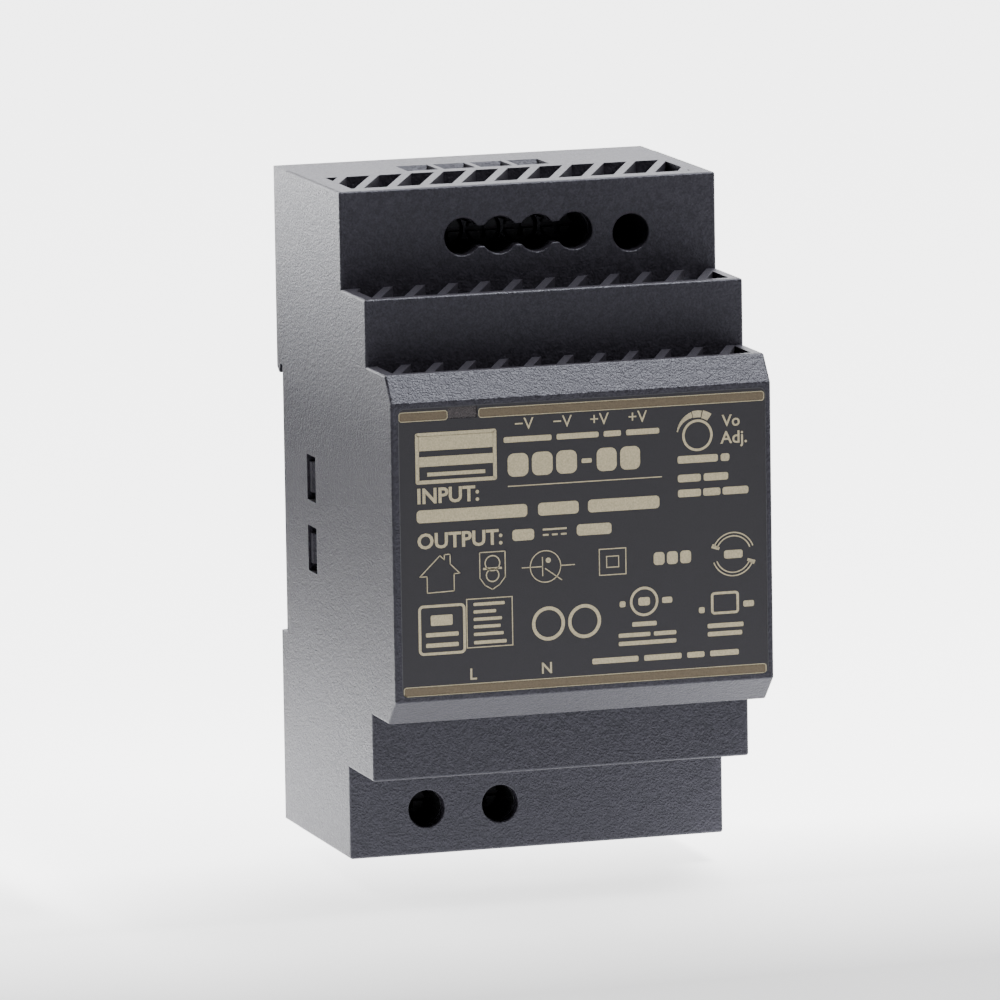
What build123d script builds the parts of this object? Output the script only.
"""DIN rail power supply, three modules wide, stepped so that its front passes a distribution board's cover.

Millimetres. X runs along the rail, +Y points to the rear (the rail side), +Z is up. The origin is the
centre of the bounding box in plan, on the flat underside. Depths are measured forward from the rear plane.
"""
from build123d import *
import os

# ---------------------------------------------------------------- overall size
WIDTH = 52.5
HEIGHT = 90.0
DEPTH = 54.5
WALL = 1.6
EDGE_R = 0.35

# ---------------------------------------------------------------- stepped side profile
TERMINAL_DEPTH = 32.2          # both terminal faces
UPPER_MID_DEPTH = 43.3         # face between the two upper ledges
LOWER_MID_DEPTH = 43.6
UPPER_CHAMFER_DEPTH = 51.8
LOWER_CHAMFER_DEPTH = 51.0
LEDGE_1_Z = 77.0
LEDGE_2_Z = 68.1
PANEL_TOP_Z = 64.6
PANEL_LOW_Z = 24.9
UNDERSIDE_2_Z = 21.5
UNDERSIDE_1_Z = 12.5

# ---------------------------------------------------------------- rear cover and rail
SEAM_DEPTH = 7.1               # where the front shell meets the rear cover
COVER_INSET = 0.12
COVER_REAR_CHAMFER = 0.4
SEAM_CHAMFER = 0.35            # makes the seam a V groove
RAIL_LOW_Z = 26.2
RAIL_HIGH_Z = 61.8
RAIL_SEAT = 3.0
RAIL_LEAD_IN = 1.0
HOOK_DEPTH = 1.85              # thickness of the fixed hook behind the rail's edge
HOOK_RISE = 1.2
COVER_FLOOR = 4.7              # inner face of the cover behind the rail
SNAP_Z = [39.7, 49.4]
SNAP_WINDOW = (4.0, 6.2)       # depth, height
SNAP_WINDOW_DEPTH = 16.5
SNAP_TAB_HEIGHT = 4.1

# ---------------------------------------------------------------- rail latch
LATCH_HALF = 8.0
LATCH_FLANGE = 10.0
LATCH_LIP_DEPTH = 1.4
LATCH_LOW_Z = 0.4
LATCH_NOSE_Z = 29.2
LATCH_PLAY = 0.05
LATCH_WINDOW = (5.0, 19.0)
SPRING_SEAT_Z = 9.0
SPRING_DEPTH = 3.0
SPRING_R = 1.25
SPRING_WIRE_R = 0.22
SPRING_TURNS = 8

# ---------------------------------------------------------------- vents
VENT_PITCH = 4.52
VENT_RIB = 1.3
TOP_VENT_DEPTH = (17.0, 29.4)
TOP_VENT_HALF = 23.7
LEDGE_VENT_HALF = 24.75
LEDGE_RIM = 1.4
VENT_LEAN = 0.47               # sideways shift of a rib per unit of depth
TOP_VENT_START = -22.0         # left side of a slot at its front end
LEDGE_VENT_START = -23.6

# ---------------------------------------------------------------- terminals
PITCH = 5.2
OUTPUT_X = [-9.25 + i * PITCH for i in range(4)]
OUTPUT_Z = 83.1
INPUT_X = [-15.55, -5.25]
INPUT_Z = 6.2
DRIVER_HOLE_R = 2.5
CHAIN_NECK = 2.75
HOLE_RIM_R = 0.2
TRIMMER_X = 14.25
TRIMMER_Z = 82.45
CELL_HALF = 2.2
ENTRY_DEPTH = (9.0, 14.5)
ENTRY_RAMP = 1.1               # depth taken by the sloping rear side of a wire entry
CAGE_HALF = 2.1
CAGE_HEIGHT = 5.4
CAGE_BACK = 8.4
CAGE_REAR_WALL = 1.0
CAGE_SIDE_WALL = 0.6
CAGE_FRONT = (15.8, 17.2)
CONTACT_DEPTH = (14.8, 15.6)
CONTACT_HALF = 1.3
WEB = (21.6, 22.6)
SCREW_HEAD = (22.7, 24.5)
SCREW_HEAD_R = 2.3
SCREW_SHANK_R = 1.45
THREAD_R = 1.5
BLOCK_FRONT = 30.4
BLOCK_END_WALL = 0.9

# ---------------------------------------------------------------- circuit board
PCB_BACK = 6.6
PCB_FRONT = 8.2
PCB_HALF = 23.1
PCB_Z = (2.6, 87.4)
PIN_TAIL = 5.5

# ---------------------------------------------------------------- front panel
LABEL_X = (-25.3, 25.5)
LABEL_Z = (25.5, 63.95)
LABEL_THICK = 0.25
LABEL_RECESS = 0.3
LED_X = -16.45
LED_Z = 63.0
LED_WINDOW = (4.0, 1.5)

REAR_Y = DEPTH / 2
board_holes = []               # (x, z, radius) of every lead through the board


# ================================================================ helpers
def block(x, d, z):
    """Box between two values on each axis, with depth measured forward from the rear plane."""
    size = (x[1] - x[0], d[1] - d[0], z[1] - z[0])
    middle = ((x[0] + x[1]) / 2, REAR_Y - (d[0] + d[1]) / 2, (z[0] + z[1]) / 2)
    return Pos(*middle) * Box(*size)


def rod(x, z, d, radius):
    """Round bar running front to back."""
    return Pos(x, REAR_Y - (d[0] + d[1]) / 2, z) * Rot(90, 0, 0) * Cylinder(radius, d[1] - d[0])


def prism(points, x):
    """Side outline in (depth, height), extruded across the width."""
    outline = Polyline(*[(x[0], REAR_Y - d, z) for d, z in points], close=True)
    return extrude(make_face(outline), amount=x[1] - x[0], dir=(1, 0, 0))


def plan_prism(points, z):
    """Plan outline in (x, depth), extruded upward."""
    outline = Polyline(*[(px, REAR_Y - d, z[0]) for px, d in points], close=True)
    return extrude(make_face(outline), amount=z[1] - z[0], dir=(0, 0, 1))


def lead(x, z, d_front, radius=0.35):
    """Round lead through the board, which gets a hole for it."""
    board_holes.append((x, z, radius + 0.1))
    return rod(x, z, (PIN_TAIL, d_front), radius)


def round_long(solid, radius, axis=Axis.Y):
    """Fillet the edges that run along one axis."""
    return fillet(solid.edges().filter_by(axis), radius)


def join(pieces):
    """One compound of separate solids."""
    return Compound(children=[s for p in pieces for s in p.solids()])


# ================================================================ enclosure
def outline(inset):
    """Side outline of the housing, moved inward by inset."""
    slant_up = (LEDGE_2_Z - PANEL_TOP_Z) / (DEPTH - UPPER_CHAMFER_DEPTH)
    slant_low = (PANEL_LOW_Z - UNDERSIDE_2_Z) / (DEPTH - LOWER_CHAMFER_DEPTH)
    shift_up = inset * ((1 + slant_up**2) ** 0.5 - slant_up)
    shift_low = inset * ((1 + slant_low**2) ** 0.5 - slant_low)
    lower_chamfer = LOWER_CHAMFER_DEPTH - (inset * (1 + slant_low**2) ** 0.5 - inset) / slant_low
    upper_chamfer = UPPER_CHAMFER_DEPTH - (inset * (1 + slant_up**2) ** 0.5 - inset) / slant_up
    return [
        (SEAM_DEPTH - inset * 4, inset),
        (TERMINAL_DEPTH - inset, inset),
        (TERMINAL_DEPTH - inset, UNDERSIDE_1_Z + inset),
        (LOWER_MID_DEPTH - inset, UNDERSIDE_1_Z + inset),
        (LOWER_MID_DEPTH - inset, UNDERSIDE_2_Z + inset),
        (lower_chamfer, UNDERSIDE_2_Z + inset),
        (DEPTH - inset, PANEL_LOW_Z + shift_low),
        (DEPTH - inset, PANEL_TOP_Z - shift_up),
        (upper_chamfer, LEDGE_2_Z - inset),
        (UPPER_MID_DEPTH - inset, LEDGE_2_Z - inset),
        (UPPER_MID_DEPTH - inset, LEDGE_1_Z - inset),
        (TERMINAL_DEPTH - inset, LEDGE_1_Z - inset),
        (TERMINAL_DEPTH - inset, HEIGHT - inset),
        (SEAM_DEPTH - inset * 4, HEIGHT - inset),
    ]


def vent_slots(depths, half, z, ribs_from):
    """Leaning slots between ribs, cut to a rectangle and joined as one cutter."""
    gap = VENT_PITCH - VENT_RIB
    lean = VENT_LEAN * (depths[1] - depths[0])
    frame = block((-half, half), depths, z)
    slots = []
    x = ribs_from - 3 * VENT_PITCH
    while x < half:
        corners = [(x, depths[1]), (x + gap, depths[1]), (x + gap + lean, depths[0]), (x + lean, depths[0])]
        if x + gap + lean > -half:
            slots.append(plan_prism(corners, z) & frame)
        x += VENT_PITCH
    return slots


def driver_openings():
    """The chain of four screwdriver holes, the trimmer's hole and the two at the bottom."""
    reach = (TERMINAL_DEPTH - 2 * WALL, TERMINAL_DEPTH + 1)
    holes = [rod(x, OUTPUT_Z, reach, DRIVER_HOLE_R) for x in OUTPUT_X]
    neck = block((OUTPUT_X[0], OUTPUT_X[-1]), reach, (OUTPUT_Z - CHAIN_NECK / 2, OUTPUT_Z + CHAIN_NECK / 2))
    chain = neck
    for hole in holes:
        chain = chain + hole
    chain = chain.clean()
    inner = [
        e for e in chain.edges().filter_by(Axis.Y)
        if abs(abs(e.center().Z - OUTPUT_Z) - CHAIN_NECK / 2) < 0.05
    ]
    chain = fillet(inner, 0.45)
    single = [rod(x, INPUT_Z, reach, DRIVER_HOLE_R) for x in INPUT_X]
    return [chain, rod(TRIMMER_X, TRIMMER_Z, reach, DRIVER_HOLE_R)] + single


def driver_rims(shell):
    """Edges where the driver holes meet the two terminal faces."""
    rims = []
    for edge in shell.edges():
        box = edge.bounding_box()
        on_face = max(abs(REAR_Y - y - TERMINAL_DEPTH) for y in (box.min.Y, box.max.Y)) < 0.01
        near = any(abs(box.center().Z - z) < DRIVER_HOLE_R + 0.1 for z in (OUTPUT_Z, INPUT_Z, TRIMMER_Z))
        small = box.size.X < DRIVER_HOLE_R * 2 + 0.1 and box.size.Z < DRIVER_HOLE_R * 2 + 0.1
        if on_face and near and small and max(box.size.X, box.size.Z) > 0.05:
            rims.append(edge)
    return rims


def wire_entry(x, face_z, up):
    """Cutter for a wire entry whose rear side slopes, to guide the wire forward."""
    rear, front = ENTRY_DEPTH
    outer = face_z + up * 0.01
    inner = face_z - up * (WALL + 0.4)
    slope = ENTRY_RAMP / WALL
    corners = [(rear, outer), (front, outer), (front, inner), (rear + slope * abs(outer - inner), inner)]
    return prism(corners, (x - CELL_HALF, x + CELL_HALF))


def front_shell():
    half = WIDTH / 2
    outer = prism(outline(0), (-half, half))
    convex = []
    hollow_corners = [(TERMINAL_DEPTH, UNDERSIDE_1_Z), (LOWER_MID_DEPTH, UNDERSIDE_2_Z),
                      (UPPER_MID_DEPTH, LEDGE_2_Z), (TERMINAL_DEPTH, LEDGE_1_Z)]
    for edge in outer.edges():
        centre = edge.center()
        depth = REAR_Y - centre.Y
        concave = any(abs(depth - d) < 0.01 and abs(centre.Z - z) < 0.01 for d, z in hollow_corners)
        if not concave and depth > SEAM_DEPTH + 0.01:
            convex.append(edge)
    outer = fillet(convex, EDGE_R)
    inner = prism(outline(WALL), (-half + WALL, half - WALL))
    shell = outer - inner

    # guide tube from the terminal face back to the trimmer
    tube = (16.0, TERMINAL_DEPTH - WALL + 0.2)
    shell += rod(TRIMMER_X, TRIMMER_Z, tube, DRIVER_HOLE_R + 0.8)
    shell -= rod(TRIMMER_X, TRIMMER_Z, (tube[0] - 1, tube[1] + WALL), DRIVER_HOLE_R)
    for opening in driver_openings():
        shell -= opening
    shell = fillet(driver_rims(shell), HOLE_RIM_R)

    # vents in the top face, both ledges and their opposite numbers underneath
    through = WALL + 0.4
    decks = [
        (TOP_VENT_DEPTH, TOP_VENT_HALF, TOP_VENT_START, (HEIGHT - through, HEIGHT + 1)),
        (TOP_VENT_DEPTH, TOP_VENT_HALF, TOP_VENT_START, (-1, through)),
    ]
    for rear, front, face_z, up in [
        (TERMINAL_DEPTH, UPPER_MID_DEPTH - LEDGE_RIM, LEDGE_1_Z, 1),
        (UPPER_MID_DEPTH, UPPER_CHAMFER_DEPTH - LEDGE_RIM + 0.4, LEDGE_2_Z, 1),
        (LOWER_MID_DEPTH, LOWER_CHAMFER_DEPTH - LEDGE_RIM + 0.4, UNDERSIDE_2_Z, -1),
        (TERMINAL_DEPTH, LOWER_MID_DEPTH - LEDGE_RIM, UNDERSIDE_1_Z, -1),
    ]:
        z = sorted((face_z - up * through, face_z + up))
        decks.append(((rear, front), LEDGE_VENT_HALF, LEDGE_VENT_START, z))
    for depths, reach, start, z in decks:
        for slot in vent_slots(depths, reach, z, start):
            shell -= slot

    # wire entries over each clamp
    for x in OUTPUT_X:
        shell -= wire_entry(x, HEIGHT, 1)
    for x in INPUT_X:
        shell -= wire_entry(x, 0, -1)

    # snap windows in both sides
    depth, tall = SNAP_WINDOW
    window_d = (SNAP_WINDOW_DEPTH - depth / 2, SNAP_WINDOW_DEPTH + depth / 2)
    for z in SNAP_Z:
        for side in (-1, 1):
            x = sorted((side * (half + 1), side * (half - WALL - 1)))
            shell -= block(x, window_d, (z - tall / 2, z + tall / 2))

    # recess for the label, and the light pipe's hole
    recess = block(LABEL_X, (DEPTH - LABEL_RECESS, DEPTH + 1), LABEL_Z)
    shell -= round_long(recess, 0.9)
    shell -= block((LED_X - 2.05, LED_X + 2.05), (DEPTH - 2 * WALL, DEPTH + 1), (LED_Z - 0.8, LED_Z + 0.8))
    return shell


def rear_cover():
    half = WIDTH / 2 - COVER_INSET
    low, high = COVER_INSET, HEIGHT - COVER_INSET
    body = block((-half, half), (0, SEAM_DEPTH - LATCH_PLAY), (low, high))
    rear_edges = [e for e in body.edges() if abs(e.center().Y - REAR_Y) < 0.01]
    body = chamfer(rear_edges, COVER_REAR_CHAMFER)
    seam_edges = [e for e in body.edges() if REAR_Y - e.center().Y > SEAM_DEPTH - LATCH_PLAY - 0.01]
    body = chamfer(seam_edges, SEAM_CHAMFER)

    # rail channel with a lead-in, and the groove behind the fixed hook
    across = (-half - 1, half + 1)
    body -= block(across, (-1, RAIL_SEAT), (RAIL_LOW_Z, RAIL_HIGH_Z))
    lead_in = [(-0.01, RAIL_HIGH_Z + RAIL_LEAD_IN), (RAIL_LEAD_IN * 1.4, RAIL_HIGH_Z), (-0.01, RAIL_HIGH_Z)]
    body -= prism(lead_in, across)
    body -= block(across, (HOOK_DEPTH, RAIL_SEAT), (RAIL_HIGH_Z - 0.1, RAIL_HIGH_Z + HOOK_RISE))

    # inside, deeper above and below the rail than behind it
    inner = half - WALL
    body -= block((-inner, inner), (COVER_FLOOR, SEAM_DEPTH + 1), (low + WALL, high - WALL))
    body -= block((-inner, inner), (WALL, SEAM_DEPTH + 1), (RAIL_HIGH_Z + HOOK_RISE + WALL, high - WALL))

    # latch guide: open at the rear and at the bottom, wider behind two lips
    neck_half = LATCH_HALF + LATCH_PLAY
    body -= block((-neck_half, neck_half), (-1, LATCH_LIP_DEPTH + 0.1), (-1, RAIL_LOW_Z + 1))
    flange_half = LATCH_FLANGE + LATCH_PLAY
    flange_depth = (LATCH_LIP_DEPTH - LATCH_PLAY, RAIL_SEAT + LATCH_PLAY)
    body -= block((-flange_half, flange_half), flange_depth, (-1, RAIL_LOW_Z + 0.01))

    # half-round trough for the spring, and the post it stands on
    reach = LATCH_WINDOW[1] + 1
    trough = Cylinder(SPRING_R + SPRING_WIRE_R + 0.15, reach - SPRING_SEAT_Z)
    body -= Pos(0, REAR_Y - SPRING_DEPTH, (SPRING_SEAT_Z + reach) / 2) * trough
    post = block((-1.6, 1.6), (LATCH_LIP_DEPTH, COVER_FLOOR), (SPRING_SEAT_Z - 2, SPRING_SEAT_Z))
    body += post
    guard_z = (RAIL_HIGH_Z, RAIL_HIGH_Z + HOOK_RISE)
    body -= block((-half + 0.01, half - 0.01), (HOOK_DEPTH, RAIL_SEAT), guard_z)

    # side tongues inside the front shell, each with two snap tabs
    tongue_out = WIDTH / 2 - WALL - 0.1
    tongue_in = tongue_out - 1.2
    depth, tall = SNAP_WINDOW
    for side in (-1, 1):
        x = sorted((side * tongue_out, side * tongue_in))
        z = (SNAP_Z[0] - 4.5, SNAP_Z[1] + 4.5)
        body += block(x, (SEAM_DEPTH - 1.5, SNAP_WINDOW_DEPTH + 3.0), z)
        for snap in SNAP_Z:
            d0 = SNAP_WINDOW_DEPTH - depth / 2 + 0.2
            d1 = SNAP_WINDOW_DEPTH + depth / 2 - 0.3
            root = side * (tongue_out - 0.01)
            tip = side * (WIDTH / 2 - 0.3)
            ramp = side * (tongue_out + 0.3)
            corners = [(root, d0), (tip, d0), (tip, d0 + 1.0), (ramp, d1), (root, d1)]
            body += plan_prism(corners, (snap - SNAP_TAB_HEIGHT / 2, snap + SNAP_TAB_HEIGHT / 2))
    return body


def rail_latch():
    plate_z = (LATCH_LOW_Z, RAIL_LOW_Z - 0.3)
    neck = block((-LATCH_HALF, LATCH_HALF), (0.2, LATCH_LIP_DEPTH), plate_z)
    flange = block((-LATCH_FLANGE, LATCH_FLANGE), (LATCH_LIP_DEPTH, RAIL_SEAT), plate_z)
    nose_points = [
        (0.2, RAIL_LOW_Z - 0.31), (0.2, LATCH_NOSE_Z - 2.2), (HOOK_DEPTH - 0.5, LATCH_NOSE_Z),
        (HOOK_DEPTH - 0.05, LATCH_NOSE_Z), (HOOK_DEPTH - 0.05, RAIL_LOW_Z - 0.31),
    ]
    nose = prism(nose_points, (-LATCH_HALF, LATCH_HALF))
    latch = neck + flange + nose
    latch -= block((-2.0, 2.0), (-1, RAIL_SEAT + 1), LATCH_WINDOW)
    # screwdriver slot across the pull end, and grip ribs above it
    latch -= block((-3.2, 3.2), (1.0, 2.2), (LATCH_LOW_Z - 1, LATCH_LOW_Z + 3.0))
    for i in range(3):
        z = 21.2 + i * 1.5
        latch -= block((-5.0, 5.0), (-1, 0.55), (z, z + 0.7))
    return latch


def latch_spring():
    height = LATCH_WINDOW[1] - SPRING_SEAT_Z - 2 * SPRING_WIRE_R - 0.04
    path = Helix(pitch=height / SPRING_TURNS, height=height, radius=SPRING_R)
    section = Plane(origin=path @ 0, z_dir=path % 0) * Circle(SPRING_WIRE_R)
    coil = sweep(section, path=path)
    return Pos(0, REAR_Y - SPRING_DEPTH, SPRING_SEAT_Z + SPRING_WIRE_R + 0.02) * coil


def front_label():
    plate = block(LABEL_X, (DEPTH - LABEL_RECESS, DEPTH - LABEL_RECESS + LABEL_THICK), LABEL_Z)
    plate = round_long(plate, 0.9)
    w, h = LED_WINDOW
    plate -= block((LED_X - w / 2, LED_X + w / 2), (DEPTH - 1, DEPTH + 1), (LED_Z - h / 2, LED_Z + h / 2))
    return plate


# ================================================================ terminals
def terminal_block(centres, z, up):
    """Moulded block with a cell, a driver well and a contact slot for each clamp.

    up is 1 where wires enter from above, and -1 where they enter from below.
    """
    outer_z = sorted((z - up * 5.8, z + up * (5.2 if up > 0 else 4.5)))
    x = (centres[0] - CELL_HALF - BLOCK_END_WALL, centres[-1] + CELL_HALF + BLOCK_END_WALL)
    body = block(x, (PCB_FRONT, BLOCK_FRONT), outer_z)
    for cx in centres:
        cell_z = sorted((z - up * (CAGE_HEIGHT / 2 + 0.4), z + up * 8))
        body -= block((cx - CELL_HALF, cx + CELL_HALF), (PCB_FRONT + 0.1, WEB[0]), cell_z)
        body -= rod(cx, z, (WEB[0] - 1, WEB[1] + 1), SCREW_SHANK_R + 0.2)
        body -= rod(cx, z, (WEB[1], BLOCK_FRONT + 1), DRIVER_HOLE_R - 0.05)
        slot_z = sorted((z - up * (CAGE_HEIGHT / 2 + 0.3), z - up * (CAGE_HEIGHT / 2 + 1.9)))
        body -= block((cx - 1.4, cx + 1.4), (PCB_FRONT - 1, CONTACT_DEPTH[1] + 0.1), slot_z)
    if len(centres) > 2:
        neck = CHAIN_NECK / 2
        body -= block((centres[0], centres[-1]), (WEB[1] + 2, BLOCK_FRONT + 1), (z - neck, z + neck))
    return body


def contacts(centres, z, up):
    """Tinned contact bars, each one bent back to a pin through the board."""
    bars = []
    for cx in centres:
        foot = sorted((z - up * (CAGE_HEIGHT / 2 + 0.6), z - up * (CAGE_HEIGHT / 2 + 1.6)))
        bar_z = sorted((z + up * CAGE_HEIGHT / 2, z - up * (CAGE_HEIGHT / 2 + 1.6)))
        bar = block((cx - CONTACT_HALF, cx + CONTACT_HALF), CONTACT_DEPTH, bar_z)
        bar += block((cx - CONTACT_HALF, cx + CONTACT_HALF), (PCB_FRONT + 0.3, CONTACT_DEPTH[1]), foot)
        bar += lead(cx, (foot[0] + foot[1]) / 2, PCB_FRONT + 0.31, 0.45)
        bars.append(bar)
    return join(bars)


def clamp_cage(cx, z):
    """Rising clamp: a square tube that the screw draws forward against the contact bar."""
    tall = (z - CAGE_HEIGHT / 2, z + CAGE_HEIGHT / 2)
    cage = block((cx - CAGE_HALF, cx + CAGE_HALF), (CAGE_BACK, CAGE_FRONT[1]), tall)
    cage = round_long(cage, 0.4, Axis.Z)
    inside = CAGE_HALF - CAGE_SIDE_WALL
    room = (CAGE_BACK + CAGE_REAR_WALL, CAGE_FRONT[0])
    cage -= block((cx - inside, cx + inside), room, (tall[0] - 1, tall[1] + 1))
    cage -= rod(cx, z, (CAGE_FRONT[0] - 1, CAGE_FRONT[1] + 1), THREAD_R)
    return cage


def clamp_screw(cx, z):
    """Captive screw with a combined slot and cross recess; its tip stands on the contact bar."""
    tip = CONTACT_DEPTH[1] + 0.05
    screw = rod(cx, z, (tip, SCREW_HEAD[0] + 0.01), SCREW_SHANK_R)
    head = rod(cx, z, SCREW_HEAD, SCREW_HEAD_R)
    crown = [e for e in head.edges() if abs(REAR_Y - e.center().Y - SCREW_HEAD[1]) < 0.01]
    screw += fillet(crown, 0.45)
    screw -= block((cx - 3, cx + 3), (SCREW_HEAD[1] - 0.9, SCREW_HEAD[1] + 1), (z - 0.35, z + 0.35))
    screw -= block((cx - 0.4, cx + 0.4), (SCREW_HEAD[1] - 1.3, SCREW_HEAD[1] + 1), (z - 1.3, z + 1.3))
    return screw


# ================================================================ board and controls
def main_pcb():
    board = block((-PCB_HALF, PCB_HALF), (PCB_BACK, PCB_FRONT), PCB_Z)
    board = round_long(board, 1.0)
    for x, z, radius in board_holes:
        board -= rod(x, z, (PCB_BACK - 1, PCB_FRONT + 1), radius)
    return board


def insulation_sheet():
    depth = (COVER_FLOOR + 0.1, COVER_FLOOR + 0.35)
    sheet = block((-PCB_HALF, PCB_HALF), depth, (PCB_Z[0] + 1, PCB_Z[1] - 1))
    return round_long(sheet, 2.0)


def trimmer_body():
    x, z = TRIMMER_X, TRIMMER_Z
    body = block((x - 3.2, x + 3.2), (PCB_FRONT, 12.8), (z - 3.2, z + 3.2))
    body = round_long(body, 0.5)
    body -= rod(x, z, (11.0, 13), 2.05)
    for dx in (-2.5, 0, 2.5):
        body += lead(x + dx, z - 2.0, PCB_FRONT + 0.1, 0.3)
    return body


def trimmer_rotor():
    x, z = TRIMMER_X, TRIMMER_Z
    rotor = rod(x, z, (11.05, 13.6), 2.0)
    rotor -= block((x - 1.6, x + 1.6), (12.9, 14), (z - 0.3, z + 0.3))
    rotor -= block((x - 0.3, x + 0.3), (12.9, 14), (z, z + 1.6))
    return rotor


def status_led():
    body = rod(LED_X, LED_Z, (PCB_FRONT, 10.6), 1.5)
    for dx in (-1.27, 1.27):
        body += lead(LED_X + dx * 0.7, LED_Z, PCB_FRONT + 0.1, 0.25)
    return body


def led_light_pipe():
    w, h = LED_WINDOW
    pipe_z = (LED_Z - h / 2 + 0.02, LED_Z + h / 2 - 0.02)
    pipe = block((LED_X - w / 2, LED_X + w / 2), (11.2, DEPTH - 0.2), pipe_z)
    foot = block((LED_X - 1.6, LED_X + 1.6), (10.8, 12.4), (LED_Z - 1.6, LED_Z + 1.6))
    return pipe + foot


# ================================================================ power components
def film_box(x, z, top, pins):
    """Potted box component standing on the board."""
    body = block(x, (PCB_FRONT + 0.2, top), z)
    crown = [e for e in body.edges() if REAR_Y - e.center().Y > PCB_FRONT + 0.5]
    body = fillet(crown, 0.5)
    for px, pz in pins:
        body += lead(px, pz, PCB_FRONT + 0.3)
    return body


def disc_part(x, z, radius, thick, centre_d, spread):
    """Radial disc standing on edge, with two leads."""
    disc = Pos(x, REAR_Y - centre_d, z) * Cylinder(radius, thick)
    disc = fillet(disc.edges().filter_by(GeomType.CIRCLE), thick * 0.3)
    for side in (-1, 1):
        disc += lead(x + side * spread, z, centre_d - radius * 0.6, 0.35)
    return disc


def electrolytic(x, z, radius, top, vent=True):
    """Aluminium can with a rolled groove and a scored crown."""
    base = PCB_FRONT + 0.3
    can = rod(x, z, (base, top), radius)
    ends = can.edges().filter_by(GeomType.CIRCLE)
    can = fillet(ends, 0.5)
    groove = rod(x, z, (base + 2.0, base + 2.9), radius + 1)
    can -= groove - rod(x, z, (base + 1.9, base + 3.0), radius - 0.45)
    if vent:
        can -= block((x - radius * 0.55, x + radius * 0.55), (top - 0.15, top + 1), (z - 0.15, z + 0.15))
        can -= block((x - 0.15, x + 0.15), (top - 0.15, top + 1), (z - radius * 0.55, z + radius * 0.55))
    for side in (-1, 1):
        can += lead(x + side * radius * 0.45, z, base + 0.3)
    return can


CAN_X, CAN_Z, CAN_R, CAN_TOP = -13.7, 24.8, 8.6, 39.0


def bulk_capacitor():
    return electrolytic(CAN_X, CAN_Z, CAN_R, CAN_TOP)


def bulk_capacitor_sleeve():
    span = (PCB_FRONT + 3.6, CAN_TOP - 0.9)
    return rod(CAN_X, CAN_Z, span, CAN_R + 0.3) - rod(CAN_X, CAN_Z, (span[0] - 1, span[1] + 1), CAN_R)


def output_capacitors():
    return join([
        electrolytic(-17.8, 70.6, 4.6, 29.0),
        electrolytic(-7.6, 70.6, 4.6, 29.0),
    ])


def ring(x, d, z, outer, inner, tall):
    """Ring core with its axis upright."""
    at = Pos(x, REAR_Y - d, z)
    return at * (Cylinder(outer, tall) - Cylinder(inner, tall + 2))


def toroid_turns(x, d, z, outer, inner, tall, count, gaps):
    """Wire loops round a ring core, leaving the given angles bare."""
    loops = []
    wire = 0.45
    for i in range(count):
        angle = 360 * i / count
        if any(abs((angle - g + 180) % 360 - 180) < 18 for g in gaps):
            continue
        loop = Box(outer - inner + 4 * wire, 2 * wire, tall + 4 * wire)
        loop -= Box(outer - inner + 0.3, 3 * wire, tall + 0.06)
        loops.append(Pos(x, REAR_Y - d, z) * Rot(0, 0, angle) * Pos((outer + inner) / 2, 0, 0) * loop)
    return loops


CHOKE = (9.0, 17.6, 29.2, 7.4, 3.9, 6.4)       # x, depth, z, outer, inner, height
OUT_CHOKE = (3.6, 15.6, 70.4, 5.6, 2.9, 5.6)


def filter_choke_base():
    x, d, z, outer, inner, tall = CHOKE
    base = block((x - 7.0, x + 7.0), (PCB_FRONT, 9.0), (z - 3.6, z + 3.6))
    for dx in (-5.5, 5.5):
        for dz in (-2.5, 2.5):
            base += lead(x + dx, z + dz, PCB_FRONT + 0.1)
    return base


def bridge_rectifier():
    body = block((19.3, 22.8), (12.0, 23.4), (22.4, 36.2))
    body = chamfer(body.edges().filter_by(Axis.Y), 0.8)
    for i in range(4):
        body += lead(21.0, 24.2 + i * 3.4, 12.1, 0.4)
    return body


def power_package(x, z, side, tall=10.0):
    """Flat power package against a heatsink at x; side is +1 when it stands on the +X face."""
    xs = sorted((x, x + side * 4.5))
    body = block(xs, (16.0, 31.0), (z - tall / 2, z + tall / 2))
    body = chamfer(body.edges().filter_by(Axis.Y), 0.5)
    centre = (xs[0] + xs[1]) / 2
    body -= Pos(centre, REAR_Y - 27.6, z) * Rot(0, 90, 0) * Cylinder(1.7, 6)
    for dz in (-2.54, 0, 2.54):
        body += lead(x + side * 2.4, z + dz, 16.1, 0.4)
    return body


def heatsink(x, z, side):
    """Folded aluminium plate with a slotted front edge; side points at the device."""
    back = x - side * 1.8
    plate = block(sorted((back, x)), (PCB_FRONT + 0.4, 38.0), z)
    turned = block(sorted((x - 0.01 * side, x + side * 5.0)), (36.4, 38.0), z)
    plate += turned
    middle = (z[0] + z[1]) / 2
    for i in range(int((z[1] - z[0]) // 4)):
        cut = z[0] + 2.2 + i * 4
        plate -= block(sorted((x + side * 1.5, x + side * 6)), (36, 39), (cut, cut + 1.2))
    plate -= Pos(x, REAR_Y - 27.6, middle) * Rot(0, 90, 0) * Cylinder(1.3, 8)
    for zz in (z[0] + 2, z[1] - 2):
        plate += lead(x - side * 0.9, zz, PCB_FRONT + 0.41, 0.6)
    return plate


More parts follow.
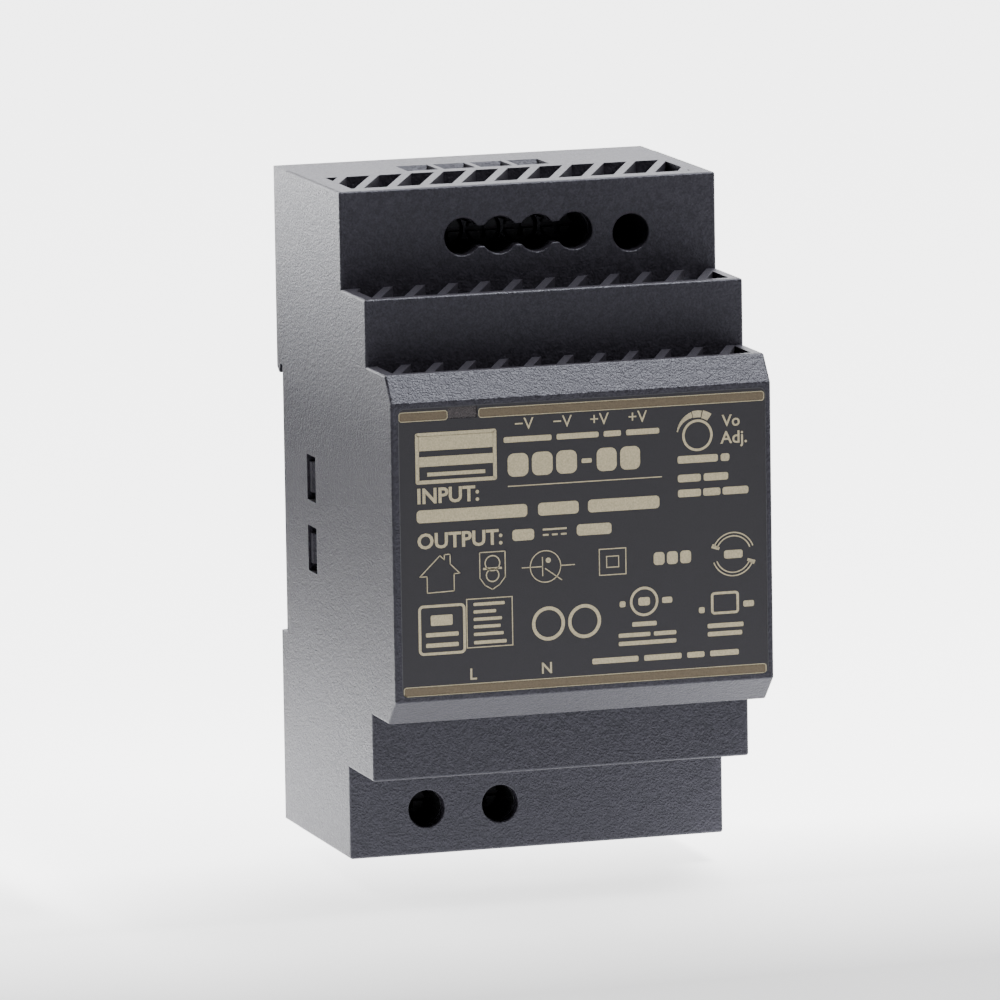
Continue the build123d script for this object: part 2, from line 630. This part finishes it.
def device_screw(x, z, side):
    """Screw that holds a power package to its heatsink."""
    head_x = x + side * (4.5 + 0.9)
    tip_x = x - side * 2.6
    shank = Pos((head_x + tip_x) / 2, REAR_Y - 27.6, z) * Rot(0, 90, 0) * Cylinder(1.25, abs(head_x - tip_x))
    head = Pos(x + side * (4.55 + 0.9), REAR_Y - 27.6, z) * Rot(0, 90, 0) * Cylinder(2.6, 1.8)
    head = fillet(head.edges().filter_by(GeomType.CIRCLE), 0.4)
    slot = block(sorted((x + side * 5.8, x + side * 7)), (24, 31), (z - 0.4, z + 0.4))
    return shank + head - slot


PRIMARY_X = -20.7
PRIMARY_Z = (36.6, 59.0)
SECONDARY_X = 20.7
SECONDARY_Z = (61.2, 75.2)

# ---------------------------------------------------------------- transformer, winding axis upright
TX, TD, TZ = 6.4, 21.4, 48.0
CORE_HALF = 12.6
CORE_THICK = 4.4
LEG_OUT = 3.4
LEG_MID = 3.7
CORE_RISE = 11.6
YOKE = 3.2


def transformer_core(up):
    """One E-shaped ferrite half."""
    z = sorted((TZ, TZ + up * CORE_RISE))
    half = block((TX - CORE_HALF, TX + CORE_HALF), (TD - CORE_THICK, TD + CORE_THICK), z)
    window = sorted((TZ - up, TZ + up * (CORE_RISE - YOKE)))
    for side in (-1, 1):
        xs = sorted((TX + side * LEG_MID, TX + side * (CORE_HALF - LEG_OUT)))
        half -= block(xs, (TD - CORE_THICK - 1, TD + CORE_THICK + 1), window)
    return half


def sleeve(reach_x, reach_d, z, bore_x, bore_d, radius):
    """Upright sleeve around the transformer's middle leg."""
    body = block((TX - reach_x, TX + reach_x), (TD - reach_d, TD + reach_d), z)
    body = round_long(body, radius, Axis.Z)
    return body - block((TX - bore_x, TX + bore_x), (TD - bore_d, TD + bore_d), (z[0] - 1, z[1] + 1))


BOBBIN_Z = (TZ - CORE_RISE + YOKE + 0.1, TZ + CORE_RISE - YOKE - 0.1)


def transformer_bobbin():
    hole = (LEG_MID + 0.05, CORE_THICK + 0.05)
    body = sleeve(LEG_MID + 1, CORE_THICK + 1, BOBBIN_Z, *hole, 0.5)
    for z in ((BOBBIN_Z[0], BOBBIN_Z[0] + 1.2), (BOBBIN_Z[1] - 1.2, BOBBIN_Z[1])):
        body += sleeve(CORE_HALF - LEG_OUT - 0.2, 9.6, z, *hole, 0.8)
        rail = block((TX - 9.0, TX + 9.0), (PCB_FRONT + 0.2, TD - CORE_THICK - 0.3), z)
        body += rail
        for i in range(4):
            body += lead(TX - 7.5 + i * 5.0, (z[0] + z[1]) / 2, PCB_FRONT + 0.21, 0.4)
    return body


def transformer_winding():
    z = (BOBBIN_Z[0] + 1.25, BOBBIN_Z[1] - 1.25)
    return sleeve(CORE_HALF - LEG_OUT - 0.75, 8.4, z, LEG_MID + 1, CORE_THICK + 1, 3.0)


def transformer_tape():
    z = (BOBBIN_Z[0] + 1.3, BOBBIN_Z[1] - 1.3)
    inner = CORE_HALF - LEG_OUT - 0.75
    outer = block((TX - inner - 0.3, TX + inner + 0.3), (TD - 8.7, TD + 8.7), z)
    core = block((TX - inner, TX + inner), (TD - 8.4, TD + 8.4), (z[0] - 1, z[1] + 1))
    return round_long(outer, 3.3, Axis.Z) - round_long(core, 3.0, Axis.Z)


# ================================================================ small electronics
def dual_inline(x, z, wide, long, tall, pins, pitch):
    """Small moulded package with legs down both long sides."""
    depth = (PCB_FRONT + 0.3, PCB_FRONT + 0.3 + tall)
    body = block((x - wide / 2, x + wide / 2), depth, (z - long / 2, z + long / 2))
    body = chamfer(body.edges().filter_by(Axis.Z), 0.3)
    for i in range(pins):
        pz = z + (i - (pins - 1) / 2) * pitch
        for side in (-1, 1):
            leg = block(sorted((x + side * (wide / 2 - 0.2), x + side * (wide / 2 + 1.1))),
                        (PCB_FRONT + 0.8, PCB_FRONT + 1.1), (pz - 0.25, pz + 0.25))
            leg += block(sorted((x + side * (wide / 2 + 0.8), x + side * (wide / 2 + 1.1))),
                         (PCB_FRONT, PCB_FRONT + 1.1), (pz - 0.25, pz + 0.25))
            body += leg
    return body


def surface_mount_parts():
    """Chip resistors, capacitors and diodes in the gaps between the large parts."""
    spots = [
        (-20.0, 62.0), (-11.5, 62.4), (-8.5, 62.4), (-5.5, 62.4), (-2.5, 62.4), (0.5, 62.4), (3.5, 62.4),
        (-15.0, 36.6), (-12.5, 36.6), (-10.0, 36.6), (22.0, 42.0), (22.0, 46.0), (22.0, 50.0),
        (11.8, 74.5), (14.0, 74.5), (12.0, 78.0), (20.5, 82.0), (20.5, 85.0), (-17.0, 82.0), (-17.0, 79.0),
        (2.5, 11.6), (5.5, 11.6), (8.5, 11.6),
    ]
    chips = []
    for i, (x, z) in enumerate(spots):
        size = (1.6, 0.8) if i % 3 else (2.6, 1.4)
        chips.append(block((x - size[0] / 2, x + size[0] / 2), (PCB_FRONT, PCB_FRONT + 0.6),
                           (z - size[1] / 2, z + size[1] / 2)))
    return join(chips)


# ================================================================ all pieces
def build_all():
    parts = {
        "front_shell": front_shell(),
        "rear_cover": rear_cover(),
        "front_label": front_label(),
        "rail_latch": rail_latch(),
        "latch_spring": latch_spring(),
        "output_terminal_block": terminal_block(OUTPUT_X, OUTPUT_Z, 1),
        "output_contacts": contacts(OUTPUT_X, OUTPUT_Z, 1),
        "input_terminal_block": terminal_block(INPUT_X, INPUT_Z, -1),
        "input_contacts": contacts(INPUT_X, INPUT_Z, -1),
        "trimmer_body": trimmer_body(),
        "trimmer_rotor": trimmer_rotor(),
        "status_led": status_led(),
        "led_light_pipe": led_light_pipe(),
        "insulation_sheet": insulation_sheet(),
        "input_fuse": film_box((3.6, 12.0), (3.6, 7.8), 16.4, [(5.3, 5.7), (10.3, 5.7)]),
        "surge_varistor": disc_part(18.0, 5.6, 4.6, 3.2, 14.4, 2.5),
        "inrush_thermistor": disc_part(18.4, 10.6, 4.0, 3.0, 14.0, 2.5),
        "x_capacitor": film_box((0.6, 17.6), (13.4, 21.4), 22.4, [(2.6, 17.4), (15.6, 17.4)]),
        "y_capacitors": join([
            disc_part(-10.6, 39.6, 3.4, 2.4, 13.4, 2.2),
            disc_part(-10.6, 58.4, 3.4, 2.4, 13.4, 2.2),
        ]),
        "filter_choke_base": filter_choke_base(),
        "filter_choke_core": ring(*CHOKE),
        "filter_choke_windings": join(toroid_turns(*CHOKE, 22, (0, 180))),
        "bridge_rectifier": bridge_rectifier(),
        "bulk_capacitor": bulk_capacitor(),
        "bulk_capacitor_sleeve": bulk_capacitor_sleeve(),
        "primary_heatsink": heatsink(PRIMARY_X, PRIMARY_Z, 1),
        "switch_transistor": power_package(PRIMARY_X, sum(PRIMARY_Z) / 2, 1),
        "secondary_heatsink": heatsink(SECONDARY_X, SECONDARY_Z, -1),
        "output_rectifier": power_package(SECONDARY_X, sum(SECONDARY_Z) / 2, -1),
        "device_screws": join([
            device_screw(PRIMARY_X, sum(PRIMARY_Z) / 2, 1),
            device_screw(SECONDARY_X, sum(SECONDARY_Z) / 2, -1),
        ]),
        "transformer_core_upper": transformer_core(1),
        "transformer_core_lower": transformer_core(-1),
        "transformer_bobbin": transformer_bobbin(),
        "transformer_winding": transformer_winding(),
        "transformer_tape": transformer_tape(),
        "output_capacitors": output_capacitors(),
        "output_choke_core": ring(*OUT_CHOKE),
        "output_choke_winding": join(toroid_turns(*OUT_CHOKE, 18, (180,))),
        "controller_chip": dual_inline(-11.4, 49.4, 3.9, 5.0, 1.5, 4, 1.27),
        "feedback_optocoupler": dual_inline(-11.4, 44.0, 4.6, 4.4, 3.2, 2, 2.54),
        "surface_mount_parts": surface_mount_parts(),
    }
    for i, x in enumerate(OUTPUT_X):
        parts[f"output_clamp_{i + 1}"] = clamp_cage(x, OUTPUT_Z)
        parts[f"output_screw_{i + 1}"] = clamp_screw(x, OUTPUT_Z)
    for i, x in enumerate(INPUT_X):
        parts[f"input_clamp_{i + 1}"] = clamp_cage(x, INPUT_Z)
        parts[f"input_screw_{i + 1}"] = clamp_screw(x, INPUT_Z)
    parts["main_pcb"] = main_pcb()      # last, when every lead is known
    return parts


os.makedirs("parts", exist_ok=True)
for node, shape in build_all().items():
    export_step(shape, f"parts/{node}.step")
